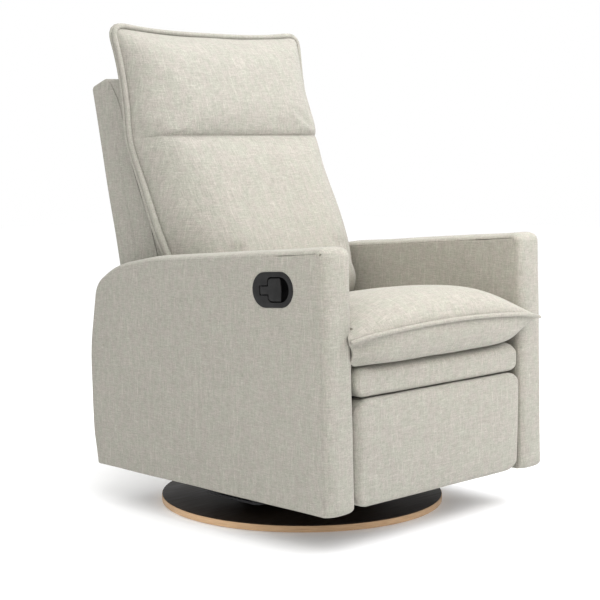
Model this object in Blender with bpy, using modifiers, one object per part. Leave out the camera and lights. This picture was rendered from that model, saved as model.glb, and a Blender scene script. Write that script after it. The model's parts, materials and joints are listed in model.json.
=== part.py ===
"""Swivel glider nursery recliner, in metres, +Z up.

The chair faces -Y and stands on z = 0, with the swivel axis on the origin. It is mirrored about X = 0,
except for the release handle, which is on the sitter's right arm (-X). Side profiles are (y, z) pairs.
Bodies, from the floor up: base, swivelling carriage, four glide links, chassis with seat and arms,
reclining back, and a footrest on a two-stage scissor linkage on each side.
"""

import bpy
from math import atan2, cos, hypot, pi, radians, sin, tan
from mathutils import Matrix, Vector

GAP = 0.0003                      # clearance kept between pieces that rest on each other
SIDES = {"left": 1, "right": -1}  # the sitter's left is +X

# Overall size
HALF_WIDTH = 0.3675
INNER_HALF_WIDTH = 0.283          # inner face of each arm
BODY_BOTTOM = 0.0906
ARM_CORE_X = (0.3117, 0.3320)     # the arm's board, between its two pads

# Base and swivel
BASE_RADIUS = 0.336
FELT_TOP = 0.0015
DISC_TOP = 0.0157
TOP_PLATE_TOP = 0.0174
RING_INNER, RING_OUTER = 0.105, 0.150
LOWER_RING_TOP = 0.0260
UPPER_RING_TOP = 0.0338
CARRIAGE_TOP = 0.0391

# Glide: four equal links, hung from the carriage and carrying the chassis
LINK_Y = 0.110
LINK_TOP_Z, LINK_BOTTOM_Z = 0.235, 0.115
LINK_X = (0.2205, 0.2245)
UPRIGHT_X = (0.2140, 0.2190)
HANGER_RADIUS, GLIDE_ROD_RADIUS = 0.005, 0.006

# Mechanism layers, each a span along X
SIDE_PLATE_X = (0.2788, 0.2826)
OUTER_LAYER_X = (0.2705, 0.2745)
INNER_LAYER_X = (0.2645, 0.2685)
BRACKET_X = (0.2590, 0.2630)
PIN_INNER_X = 0.2575

# Footrest scissor: bars of twice and once ARM_LENGTH, pinned at their middles and ends
ANCHOR = Vector((-0.310, 0.360))  # (y, z) of the drive tube
ARM_LENGTH = 0.120
SCISSOR_SLOPE = radians(-7)       # the extension direction, against the horizontal
CLOSED_ANGLE = radians(84)        # bar against the extension direction
OPEN_ANGLE = radians(21)
BAR_HALF_WIDTH = 0.010
PIN_RADIUS, PIN_HOLE = 0.004, 0.0043
DRIVE_TUBE_RADIUS, DRIVE_TUBE_HOLE = 0.009, 0.0096

# Back
HINGE = Vector((0.213, 0.410))    # (y, z) of the recline hinge
REAR_SLOPE = 0.2356               # dy/dz of the back's rear face
SHELL_DEPTH = 0.085
FRAME_DEPTH = 0.0222
SHELL_HALF_WIDTH = 0.272

# Handle, set into the right arm and tilted with the arm's top
HANDLE = Vector((-HALF_WIDTH, -0.280, 0.5497))
HANDLE_TILT = radians(-4.3)
BEZEL_HALF_FLAT, BEZEL_RADIUS = 0.023, 0.0375
CUP_HALF_FLAT, CUP_RADIUS = 0.0215, 0.0310
CUP_DEPTH, CUP_WALL = 0.027, 0.0025
CABLE_TOP, CABLE_EXIT = (-0.280, 0.545), (-0.200, 0.340)  # ends of its channel in the arm's board
CABLE_HOLE = 0.0062
PADDLE_HINGE_Y = 0.038            # from the handle's centre, towards the rear
PADDLE_HINGE_DEPTH = 0.0022       # into the arm, from its outer face

FINISHES = {                      # colour, roughness, metallic
    "fabric": ((0.560, 0.540, 0.475), 0.95, 0.0),
    "wood": ((0.560, 0.400, 0.250), 0.60, 0.0),
    "birch": ((0.620, 0.440, 0.270), 0.55, 0.0),
    "dark_laminate": ((0.022, 0.018, 0.015), 0.50, 0.0),
    "steel": ((0.180, 0.180, 0.190), 0.45, 1.0),
    "black_plastic": ((0.030, 0.032, 0.034), 0.42, 0.0),
    "felt": ((0.050, 0.050, 0.052), 0.98, 0.0),
}


# ---------------------------------------------------------------- scene and materials

def clear_scene():
    for obj in list(bpy.data.objects):
        bpy.data.objects.remove(obj, do_unlink=True)


def new_collection(name):
    collection = bpy.data.collections.new(name)
    bpy.context.scene.collection.children.link(collection)
    return collection


def make_material(name):
    colour, roughness, metallic = FINISHES[name]
    material = bpy.data.materials.new(name)
    material.use_nodes = True
    shader = material.node_tree.nodes["Principled BSDF"]
    shader.inputs["Base Color"].default_value = (*colour, 1.0)
    shader.inputs["Roughness"].default_value = roughness
    shader.inputs["Metallic"].default_value = metallic
    return material


clear_scene()
PARTS = new_collection("glider_nursery_chair")
HELPERS = new_collection("helpers")
MATERIALS = {name: make_material(name) for name in FINISHES}


def place(obj, name, finish=None, collection=PARTS):
    """Names the object, moves it to its collection and gives it its material."""
    obj.name = name
    obj.data.name = name
    for owner in list(obj.users_collection):
        owner.objects.unlink(obj)
    collection.objects.link(obj)
    if finish:
        obj.data.materials.clear()
        obj.data.materials.append(MATERIALS[finish])
    return obj


def helper(obj, name):
    """Makes the object a cutter or a tool for a Boolean."""
    place(obj, name, collection=HELPERS)
    obj.hide_render = True
    obj.display_type = "WIRE"
    return obj


# ---------------------------------------------------------------- outlines

def circle(centre, radius, points=14):
    return [(centre[0] + radius * cos(2 * pi * i / points), centre[1] + radius * sin(2 * pi * i / points))
            for i in range(points)]


def arc(centre, radius, start, end, steps):
    """Points from angle start to angle end, both in radians and both included."""
    angles = [start + (end - start) * i / steps for i in range(steps + 1)]
    return [(centre[0] + radius * cos(a), centre[1] + radius * sin(a)) for a in angles]


def stadium(first, last, radius, steps=6):
    """A bar outline with a round end about each of two points."""
    turn = atan2(last[1] - first[1], last[0] - first[0])
    return (arc(last, radius, turn - pi / 2, turn + pi / 2, steps)
            + arc(first, radius, turn + pi / 2, turn + 3 * pi / 2, steps))


def rounded(corners, steps=5):
    """An outline from (a, b, radius) corners, each rounded by its own radius."""
    outline = []
    for i, (a, b, radius) in enumerate(corners):
        corner = Vector((a, b))
        before = (Vector(corners[i - 1][:2]) - corner).normalized()
        after = (Vector(corners[(i + 1) % len(corners)][:2]) - corner).normalized()
        if radius == 0:
            outline.append(tuple(corner))
            continue
        half = before.angle(after) / 2
        centre = corner + (before + after).normalized() * radius / sin(half)
        start = corner + before * radius / tan(half) - centre
        end = corner + after * radius / tan(half) - centre
        first = atan2(start.y, start.x)
        sweep = (atan2(end.y, end.x) - first + pi) % (2 * pi) - pi
        outline += arc(centre, radius, first, first + sweep, steps)
    return outline


def lug(pivot, radius, flat_y):
    """A bracket outline: round about the pivot, and cut straight at flat_y in front of it."""
    return [(flat_y, pivot[1] - radius), *arc(pivot, radius, -pi / 2, pi / 2, 6), (flat_y, pivot[1] + radius)]


# ---------------------------------------------------------------- solids

def extruded(name, outline, span, finish=None, holes=(), along="x", bevel=0.0, parent=None):
    """A flat outline, filled and extruded over span along X, or along Z for an (x, y) outline."""
    curve = bpy.data.curves.new(name, "CURVE")
    curve.dimensions = "2D"
    curve.fill_mode = "BOTH"
    for points in (outline, *holes):
        spline = curve.splines.new("POLY")
        spline.points.add(len(points) - 1)
        for point, (a, b) in zip(spline.points, points):
            point.co = (a, b, 0, 1)
        spline.use_cyclic_u = True
    low, high = sorted(span)
    curve.extrude = (high - low) / 2 - bevel
    curve.bevel_depth = bevel
    curve.offset = -bevel
    curve.bevel_resolution = 1
    obj = bpy.data.objects.new(name, curve)
    bpy.context.scene.collection.objects.link(obj)
    middle = (low + high) / 2
    if along == "x":
        obj.rotation_euler = (pi / 2, 0, pi / 2)
        obj.location = (middle, 0, 0)
    else:
        obj.location = (0, 0, middle)
    obj.parent = parent
    return place(obj, name, finish)


def box(name, low, high, finish=None, bevel=0.0, segments=2, parent=None):
    low, high = Vector(low), Vector(high)
    bpy.ops.mesh.primitive_cube_add(size=1, location=(low + high) / 2)
    obj = bpy.context.object
    obj.scale = high - low
    bpy.ops.object.transform_apply(location=False, rotation=False, scale=True)
    obj.parent = parent
    if bevel:
        modifier = obj.modifiers.new("round", "BEVEL")
        modifier.width = bevel
        modifier.segments = segments
    return place(obj, name, finish)


def rod(name, start, end, radius, finish=None, sides=16, parent=None):
    start, end = Vector(start), Vector(end)
    bpy.ops.mesh.primitive_cylinder_add(vertices=sides, radius=radius, depth=(end - start).length,
                                        location=(start + end) / 2)
    obj = bpy.context.object
    obj.rotation_euler = (end - start).to_track_quat("Z", "Y").to_euler()
    obj.data.shade_smooth()
    obj.data.set_sharp_from_angle(angle=radians(35))
    obj.parent = parent
    return place(obj, name, finish)


def across(name, pivot, x_from, x_to, radius, finish=None, sides=16):
    """A rod along X through a (y, z) pivot."""
    return rod(name, (min(x_from, x_to), *pivot), (max(x_from, x_to), *pivot), radius, finish, sides)


def as_mesh(obj):
    """The same object as a mesh with its caps welded, so that it can take a Boolean."""
    bpy.context.view_layer.update()
    mesh = bpy.data.meshes.new_from_object(obj.evaluated_get(bpy.context.evaluated_depsgraph_get()))
    solid = bpy.data.objects.new(obj.name + "_solid", mesh)
    bpy.context.scene.collection.objects.link(solid)
    solid.parent = obj.parent
    solid.matrix_local = obj.matrix_local.copy()
    name, materials, owner = obj.name, list(obj.data.materials), obj.users_collection[0]
    bpy.data.objects.remove(obj, do_unlink=True)
    weld = solid.modifiers.new("weld", "WELD")
    weld.merge_threshold = 1e-6
    mesh.materials.clear()
    for material in materials:
        mesh.materials.append(material)
    return place(solid, name, collection=owner)


def boolean(obj, tool, operation, solver="EXACT"):
    modifier = obj.modifiers.new(operation.lower(), "BOOLEAN")
    modifier.operation = operation
    modifier.solver = solver
    modifier.object = tool
    return obj


def scissor_point(forward, down, angle=CLOSED_ANGLE):
    """(y, z) of a pivot, in half-bar steps along and across the extension direction."""
    along = Vector((-cos(SCISSOR_SLOPE), sin(SCISSOR_SLOPE)))
    across_it = Vector((sin(SCISSOR_SLOPE), cos(SCISSOR_SLOPE)))
    return ANCHOR + ARM_LENGTH * (forward * cos(angle) * along - down * sin(angle) * across_it)


CROSSING = scissor_point(1, 1)
REAR_SLIDER = scissor_point(0, 2)
REAR_SLIDER_OPEN = scissor_point(0, 2, OPEN_ANGLE)
UPPER_JOINT = scissor_point(2, 0)
LOWER_JOINT = scissor_point(2, 2)
PANEL_JOINT = scissor_point(3, 1)


def back_line(z, depth):
    """(y, z) of a point this far in front of the back's rear face."""
    return (0.344 + REAR_SLOPE * (z - 0.556) - depth, z)


# ---------------------------------------------------------------- base, swivel and glide

def make_base():
    extruded("floor_felt", circle((0, 0), 0.300, 48), (0, FELT_TOP), "felt", along="z")
    extruded("base_disc", circle((0, 0), BASE_RADIUS, 72), (FELT_TOP + GAP, DISC_TOP), "birch", along="z")
    extruded("base_top_plate", circle((0, 0), BASE_RADIUS - 0.001, 72), (DISC_TOP + GAP, TOP_PLATE_TOP),
             "dark_laminate", along="z")
    extruded("swivel_lower_ring", circle((0, 0), RING_OUTER, 32), (TOP_PLATE_TOP + GAP, LOWER_RING_TOP),
             "steel", [circle((0, 0), RING_INNER, 32)], along="z")
    rod("swivel_post", (0, 0, TOP_PLATE_TOP + GAP), (0, 0, CARRIAGE_TOP + 0.006), 0.018, "steel", 24)


def make_carriage():
    extruded("swivel_upper_ring", circle((0, 0), RING_OUTER - 0.004, 32), (LOWER_RING_TOP + GAP, UPPER_RING_TOP),
             "steel", [circle((0, 0), RING_INNER + 0.004, 32)], along="z")
    plate = rounded([(-0.232, -0.090, 0.02), (0.232, -0.090, 0.02), (0.232, 0.090, 0.02), (-0.232, 0.090, 0.02)])
    extruded("carriage_plate", plate, (UPPER_RING_TOP + GAP, CARRIAGE_TOP), "steel",
             [circle((0, 0), 0.0195, 24)], along="z")
    leg, reach, shoulder, top = 0.050, 0.126, 0.210, 0.254
    outline = rounded([(-leg, CARRIAGE_TOP + GAP, 0), (leg, CARRIAGE_TOP + GAP, 0), (leg, shoulder, 0.02),
                       (reach, shoulder + 0.004, 0.008), (reach, top, 0.012), (-reach, top, 0.012),
                       (-reach, shoulder + 0.004, 0.008), (-leg, shoulder, 0.02)])
    holes = [circle((y, LINK_TOP_Z), HANGER_RADIUS + GAP) for y in (-LINK_Y, LINK_Y)]
    for side, sign in SIDES.items():
        extruded(f"carriage_upright_{side}", outline, [sign * x for x in UPRIGHT_X], "steel", holes)
    for end, y in (("front", -LINK_Y), ("rear", LINK_Y)):
        across(f"hanger_rod_{end}", (y, LINK_TOP_Z), -0.2265, 0.2265, HANGER_RADIUS, "steel", 14)


def make_glide_links():
    for end, y in (("front", -LINK_Y), ("rear", LINK_Y)):
        top, bottom = (y, LINK_TOP_Z), (y, LINK_BOTTOM_Z)
        holes = [circle(top, HANGER_RADIUS + GAP), circle(bottom, GLIDE_ROD_RADIUS + GAP)]
        for side, sign in SIDES.items():
            extruded(f"glide_link_{end}_{side}", stadium(top, bottom, 0.012), [sign * x for x in LINK_X],
                     "steel", holes)


# ---------------------------------------------------------------- chassis

def make_mechanism_frame():
    outline = rounded([(-0.340, 0.100, 0.010), (0.140, 0.097, 0.010), (0.236, 0.330, 0.05), (0.238, 0.432, 0.018),
                       (0.188, 0.432, 0.018), (0.140, 0.3715, 0.03), (-0.340, 0.3715, 0.010)])
    slot = stadium(REAR_SLIDER, REAR_SLIDER_OPEN, PIN_RADIUS + 0.0007)
    holes = [circle(ANCHOR, DRIVE_TUBE_HOLE, 16), circle(HINGE, 0.0063), slot]
    holes += [circle((y, LINK_BOTTOM_Z), GLIDE_ROD_RADIUS + GAP) for y in (-LINK_Y, LINK_Y)]
    holes += [circle((-0.250, 0.335), 0.0113)]
    for side, sign in SIDES.items():
        extruded(f"side_plate_{side}", outline, [sign * x for x in SIDE_PLATE_X], "steel", holes)
        across(f"back_hinge_pin_{side}", HINGE, sign * 0.2430, sign * 0.2824, 0.006, "steel", 14)
    for end, y in (("front", -LINK_Y), ("rear", LINK_Y)):
        across(f"glide_rod_{end}", (y, LINK_BOTTOM_Z), -0.2824, 0.2824, GLIDE_ROD_RADIUS, "steel", 14)
    across("front_cross_tube", (-0.250, 0.335), -0.2824, 0.2824, 0.011, "steel")
    box("seat_deck", (-0.2780, -0.362, 0.3722), (0.2780, 0.120, 0.3900), "wood")


def arm_outline():
    return rounded([(-0.433, BODY_BOTTOM, 0.010), (0.322, BODY_BOTTOM, 0.010), (0.345, 0.355, 0.60),
                    (0.316, 0.531, 0.050), (0.130, 0.594, 0.22), (-0.4135, 0.638, 0.028)], steps=6)


def cup_outline(radius, half_flat=CUP_HALF_FLAT):
    """The handle's cup, as a (y, z) outline on the arm."""
    lean = Vector((cos(HANDLE_TILT), sin(HANDLE_TILT))) * half_flat
    centre = Vector(HANDLE[1:])
    return stadium(centre - lean, centre + lean, radius, 10)


def make_arms():
    for side, sign in SIDES.items():
        has_handle = side == "right"
        channel = [stadium(CABLE_TOP, CABLE_EXIT, CABLE_HOLE)] if has_handle else []
        cable_hole = [circle(CABLE_EXIT, CABLE_HOLE, 10)] if has_handle else []
        cup_hole = [cup_outline(CUP_RADIUS + 0.0005)] if has_handle else []
        extruded(f"arm_frame_{side}", arm_outline(), [sign * x for x in ARM_CORE_X], "wood", channel)
        extruded(f"arm_inner_pad_{side}", arm_outline(), (sign * INNER_HALF_WIDTH, sign * (ARM_CORE_X[0] - GAP)),
                 "fabric", cable_hole)
        extruded(f"arm_outer_pad_{side}", arm_outline(), (sign * (ARM_CORE_X[1] + GAP), sign * HALF_WIDTH),
                 "fabric", cup_hole)


def make_seat():
    profile = rounded([(0.060, 0.4022, 0), (-0.430, 0.4032, 0.010), (-0.462, 0.430, 0.012), (-0.470, 0.457, 0.010),
                       (-0.440, 0.500, 0.030), (-0.330, 0.516, 0.10), (0.060, 0.512, 0.02)])
    cushion = as_mesh(extruded("seat_cushion", profile, (-0.2783, 0.2783), "fabric"))
    ears = helper(box("seat_cushion_ears", (-0.320, -0.4660, 0.438), (0.320, -0.4360, 0.470), bevel=0.010),
                  "seat_cushion_ears")
    boolean(cushion, ears, "UNION")
    box("rear_panel", (-0.2825, 0.2960, 0.0936), (0.2825, 0.3180, 0.3500), "fabric", 0.004)


# ---------------------------------------------------------------- release handle

def paddle_outline(margin):
    """T shape: a stem towards the rear hinge and a D-shaped pad towards the front, grown by a margin."""
    stem_half, pad_half, pad_rear = 0.0105 + margin, 0.0245 + margin, 0.0130 + margin
    stem_end, bow_start, bow_depth = 0.0405 + 3.5 * margin, -0.0100, 0.0155 + margin
    turns = [pi * i / 10 for i in range(11)]
    bow = [(bow_start - bow_depth * sin(turn), pad_half * cos(turn)) for turn in turns]
    return [(pad_rear, -pad_half), (pad_rear, -stem_half), (stem_end, -stem_half), (stem_end, stem_half),
            (pad_rear, stem_half), (pad_rear, pad_half), *bow]


def make_handle():
    """Built about the handle's own centre, with -X pointing out of the arm."""
    seat = bpy.data.objects.new("handle_seat", None)
    seat.location = HANDLE
    seat.rotation_euler = (HANDLE_TILT, 0, 0)
    PARTS.objects.link(seat)
    face = (-0.0033, -GAP)
    flange = stadium((-BEZEL_HALF_FLAT, 0), (BEZEL_HALF_FLAT, 0), BEZEL_RADIUS, 10)
    bezel = as_mesh(extruded("handle_bezel", flange, face, "black_plastic", parent=seat))
    cup = stadium((-CUP_HALF_FLAT, 0), (CUP_HALF_FLAT, 0), CUP_RADIUS, 10)
    pocket = stadium((-CUP_HALF_FLAT, 0), (CUP_HALF_FLAT, 0), CUP_RADIUS - CUP_WALL, 10)
    front_recess = stadium((-CUP_HALF_FLAT, 0), (-0.0120, 0), 0.0262, 10)
    tools = (("cup", cup, (-0.0018, CUP_DEPTH), "UNION"),
             ("pocket", pocket, (-0.0008, CUP_DEPTH - CUP_WALL), "DIFFERENCE"),
             ("stem_opening", paddle_outline(0.0008), (-0.0050, 0.0040), "DIFFERENCE"),
             ("recess_opening", front_recess, (-0.0052, 0.0035), "DIFFERENCE"))
    for name, outline, span, operation in tools:
        tool = helper(as_mesh(extruded(f"handle_{name}", outline, span, parent=seat)), f"handle_{name}")
        boolean(bezel, tool, operation, "MANIFOLD")
    pivot = bpy.data.objects.new("handle_pivot", None)
    pivot.parent = seat
    pivot.location = (PADDLE_HINGE_DEPTH, PADDLE_HINGE_Y, 0)
    PARTS.objects.link(pivot)
    outline = [(y - PADDLE_HINGE_Y, z) for y, z in paddle_outline(0)]
    paddle = as_mesh(extruded("handle_paddle", outline, (-0.0052, -0.0020), "black_plastic", parent=pivot))
    knuckle = helper(rod("handle_knuckle", (0, 0, -0.0085), (0, 0, 0.0085), 0.0040, parent=pivot), "handle_knuckle")
    bore = helper(rod("handle_bore", (0, 0, -0.0200), (0, 0, 0.0200), 0.0018, sides=14, parent=pivot), "handle_bore")
    boolean(boolean(paddle, knuckle, "UNION"), bore, "DIFFERENCE")
    rod("handle_pin", (0, 0, -0.0190), (0, 0, 0.0190), 0.0015, "steel", 12, parent=pivot)
    make_return_spring(pivot)
    make_release_cable()


def make_return_spring(pivot):
    """A torsion coil round the pin, above the paddle's knuckle."""
    turns, per_turn, radius, wire = 4, 10, 0.0021, 0.0004
    curve = bpy.data.curves.new("handle_spring", "CURVE")
    curve.dimensions = "3D"
    curve.bevel_depth = wire
    curve.bevel_resolution = 1
    curve.use_fill_caps = True
    spline = curve.splines.new("POLY")
    spline.points.add(turns * per_turn)
    for i, point in enumerate(spline.points):
        turn = 2 * pi * i / per_turn
        point.co = (radius * cos(turn), radius * sin(turn), 0.0114 + 0.0014 * i / per_turn, 1)
    spring = bpy.data.objects.new("handle_spring", curve)
    spring.parent = pivot
    bpy.context.scene.collection.objects.link(spring)
    place(spring, "handle_spring", "steel")


def make_release_cable():
    """From behind the handle's cup, down the channel in the arm's board, to the side plate."""
    run_x = -sum(ARM_CORE_X) / 2
    (top_y, top_z), (exit_y, exit_z) = CABLE_TOP, CABLE_EXIT
    drop_y, drop_z = exit_y - top_y, exit_z - top_z
    route = [(-0.3395, top_y, top_z), (-0.3300, top_y, top_z)]
    route += [(run_x - 0.0030, top_y + 0.02 * drop_y, top_z + 0.02 * drop_z)]
    route += [(run_x, top_y + share * drop_y, top_z + share * drop_z) for share in (0.08, 0.36, 0.64, 0.92)]
    route += [(run_x + 0.0030, top_y + 0.98 * drop_y, top_z + 0.98 * drop_z)]
    route += [(-0.3130, exit_y, exit_z), (-0.2831, exit_y, exit_z)]
    curve = bpy.data.curves.new("release_cable", "CURVE")
    curve.dimensions = "3D"
    curve.bevel_depth = 0.0020
    curve.bevel_resolution = 1
    curve.use_fill_caps = True
    spline = curve.splines.new("POLY")
    spline.points.add(len(route) - 1)
    for point, place_ in zip(spline.points, route):
        point.co = (*place_, 1)
    cable = bpy.data.objects.new("release_cable", curve)
    bpy.context.scene.collection.objects.link(cable)
    place(cable, "release_cable", "black_plastic")


# ---------------------------------------------------------------- back

def make_back():
    front = SHELL_DEPTH + FRAME_DEPTH + 0.0015
    middle = SHELL_DEPTH + FRAME_DEPTH / 2
    top = back_line(0.965, middle)
    half = (FRAME_DEPTH / 2 - GAP) * cos(atan2(REAR_SLOPE, 1))
    stile = stadium(tuple(HINGE), top, half)
    for side, sign in SIDES.items():
        extruded(f"back_stile_{side}", stile, (sign * 0.2450, sign * 0.2700), "wood", [circle(HINGE, 0.0063)])
    for name, low, high in (("back_bottom_rail", 0.450, 0.500), ("back_top_rail", 0.890, 0.950)):
        rail = [back_line(low, middle - half), back_line(high, middle - half), back_line(high, middle + half),
                back_line(low, middle + half)]
        extruded(name, rail, (-0.2445, 0.2445), "wood")
    shell = rounded([(*back_line(0.370, 0), 0.012), (*back_line(0.984, 0), 0.030), (*back_line(1.001, 0.030), 0.020),
                     (*back_line(0.998, SHELL_DEPTH - GAP), 0.010), (*back_line(0.372, SHELL_DEPTH - GAP), 0.010)])
    extruded("back_shell", shell, (-SHELL_HALF_WIDTH, SHELL_HALF_WIDTH), "fabric", bevel=0.008)
    seam = 0.866
    lumbar = rounded([(0.070, 0.440, 0.02), (back_line(0.440, front)[0], 0.440, 0.01),
                      (*back_line(seam - 0.001, front), 0.012), (0.200, seam - 0.004, 0.025), (0.060, 0.580, 0.06)])
    extruded("back_pillow_lumbar", lumbar, (-0.2783, 0.2783), "fabric", bevel=0.008)
    head = rounded([(*back_line(seam + 0.001, front), 0.012), (*back_line(1.020, front), 0.05),
                    (0.350, 1.126, 0.012), (0.308, 1.126, 0.020), (0.222, 0.990, 0.08), (0.192, seam + 0.003, 0.025)])
    extruded("back_pillow_head", head, (-0.3080, 0.3080), "fabric", bevel=0.008)


# ---------------------------------------------------------------- footrest

def make_bar(name, first, last, layer, sign, holes, pins):
    """A flat bar between two pivots, with its riveted pins given as (pivot, far end along X)."""
    outline = stadium(first, last, BAR_HALF_WIDTH)
    bar = extruded(name, outline, [sign * x for x in layer], "steel",
                   [circle(pivot, radius, 12) for pivot, radius in holes])
    if not pins:
        return
    bar = as_mesh(bar)
    for number, (pivot, near, far) in enumerate(pins):
        tool = across(f"{name}_pin_{number}", pivot, sign * near, sign * far, PIN_RADIUS, sides=12)
        boolean(bar, helper(tool, tool.name), "UNION")


def make_footrest():
    outer_middle = sum(OUTER_LAYER_X) / 2
    inner_middle = sum(INNER_LAYER_X) / 2
    through_inner = INNER_LAYER_X[0] - 0.0008
    for side, sign in SIDES.items():
        make_bar(f"scissor_rear_long_{side}", ANCHOR, LOWER_JOINT, OUTER_LAYER_X, sign,
                 [(ANCHOR, DRIVE_TUBE_HOLE)],
                 [(CROSSING, outer_middle, through_inner), (LOWER_JOINT, outer_middle, through_inner)])
        make_bar(f"scissor_cross_long_{side}", REAR_SLIDER, UPPER_JOINT, INNER_LAYER_X, sign,
                 [(CROSSING, PIN_HOLE)],
                 [(REAR_SLIDER, inner_middle, SIDE_PLATE_X[1] - 0.0002), (UPPER_JOINT, PIN_INNER_X, 0.2765)])
        make_bar(f"scissor_front_short_{side}", UPPER_JOINT, PANEL_JOINT, OUTER_LAYER_X, sign,
                 [(UPPER_JOINT, PIN_HOLE)], [(PANEL_JOINT, outer_middle, PIN_INNER_X)])
        make_bar(f"scissor_cross_short_{side}", LOWER_JOINT, PANEL_JOINT, INNER_LAYER_X, sign,
                 [(LOWER_JOINT, PIN_HOLE), (PANEL_JOINT, PIN_HOLE)], [])
        bracket = [sign * x for x in BRACKET_X]
        extruded(f"roll_bracket_{side}", lug(UPPER_JOINT, 0.010, -0.3797), bracket, "steel",
                 [circle(UPPER_JOINT, PIN_HOLE, 12)])
        extruded(f"panel_bracket_{side}", lug(PANEL_JOINT, 0.010, -0.3777), bracket, "steel",
                 [circle(PANEL_JOINT, PIN_HOLE, 12)])
    across("drive_tube", ANCHOR, -0.2824, 0.2824, DRIVE_TUBE_RADIUS, "steel")
    box("roll_board", (-0.2680, -0.3915, 0.3340), (0.2680, -0.3800, 0.3860), "wood")
    box("roll_pad", (-0.2800, -0.4420, 0.3270), (0.2800, -0.3918, 0.3920), "fabric", 0.014, 3)
    box("panel_board", (-0.2680, -0.3920, 0.1030), (0.2680, -0.3780, 0.3140), "wood")
    box("panel_pad", (-0.2810, -0.4380, 0.0930), (0.2810, -0.3923, 0.3230), "fabric", 0.014, 3)


make_base()
make_carriage()
make_glide_links()
make_mechanism_frame()
make_arms()
make_seat()
make_handle()
make_back()
make_footrest()
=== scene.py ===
"""Looks for a swivel glider nursery recliner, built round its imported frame. Metres, +Z up, facing -Y.

The sitter's left is +X. Fabric pieces are built as closed meshes in numpy, and each stands for plain CAD
solids. Side profiles are (y, z) pairs.
"""

import json
from math import atan2, cos, exp, pi, radians, sin, sqrt, tan

import bmesh
import bpy
import numpy as np
from mathutils import Euler, Matrix, Vector, noise


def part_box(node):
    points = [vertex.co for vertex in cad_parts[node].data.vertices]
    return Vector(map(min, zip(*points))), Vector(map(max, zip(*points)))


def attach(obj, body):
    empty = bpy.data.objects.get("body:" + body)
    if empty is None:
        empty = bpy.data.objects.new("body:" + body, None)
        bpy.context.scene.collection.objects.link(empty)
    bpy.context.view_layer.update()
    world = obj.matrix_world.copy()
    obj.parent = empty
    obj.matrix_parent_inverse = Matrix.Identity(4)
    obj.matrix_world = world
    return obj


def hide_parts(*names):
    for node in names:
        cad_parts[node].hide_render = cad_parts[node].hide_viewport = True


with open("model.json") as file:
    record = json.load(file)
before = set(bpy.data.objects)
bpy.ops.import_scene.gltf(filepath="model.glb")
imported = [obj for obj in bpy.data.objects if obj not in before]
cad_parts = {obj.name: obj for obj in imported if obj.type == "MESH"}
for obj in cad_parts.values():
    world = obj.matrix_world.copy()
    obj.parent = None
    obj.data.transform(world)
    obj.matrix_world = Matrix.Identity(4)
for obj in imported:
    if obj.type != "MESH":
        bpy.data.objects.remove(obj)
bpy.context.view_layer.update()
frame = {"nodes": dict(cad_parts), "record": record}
NODES = frame["nodes"]

FABRIC = "linen_fabric"
SIDES = {"left": 1, "right": -1}

ARM_X = (0.283, 0.3675)  # inner and outer face of each arm
BODY_BOTTOM = 0.0906
REAR_SLOPE = 0.2356  # dy/dz of the back's rear face
SHELL_DEPTH = 0.107  # of the padded shell, with the wooden frame inside it
SHELL_HALF_WIDTH = 0.272

HANDLE = Vector((-0.3675, -0.28, 0.5497))
HANDLE_TILT = radians(-4.3)
BEZEL_HALF_FLAT, BEZEL_RADIUS = 0.023, 0.0375
CUP_HALF_FLAT, CUP_RADIUS = 0.0215, 0.031
CUP_DEPTH, CUP_WALL = 0.027, 0.0025
BEZEL_FACE = -0.0033  # outward from the arm's face, along X
PADDLE_PIVOT = (0.0022, 0.038)  # depth into the arm, and distance behind the handle's centre


# -------- materials

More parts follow.
